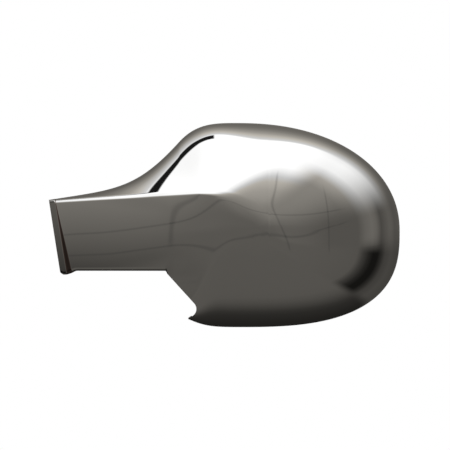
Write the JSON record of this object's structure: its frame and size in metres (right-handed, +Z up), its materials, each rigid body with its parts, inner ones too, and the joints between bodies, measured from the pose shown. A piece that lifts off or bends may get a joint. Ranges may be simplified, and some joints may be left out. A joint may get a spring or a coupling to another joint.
{
  "type": "wing mirror cover",
  "caption": "Chromed shell that caps a car's wing mirror head and arm, with a stepped face, a raised end lip and a notch under the arm.",
  "frame": {"origin": "middle of the head, on the plane of the rear rim", "axes": "+X outboard along the cover, +Y out of the open back towards the mirror glass, +Z up"},
  "size_m": [0.2504, 0.052, 0.1466],
  "materials": {
    "chrome": "mirror-bright plating on moulded plastic"
  },
  "bodies": {
    "root": {"mirror_cover": "chrome"}
  },
  "joints": []
}
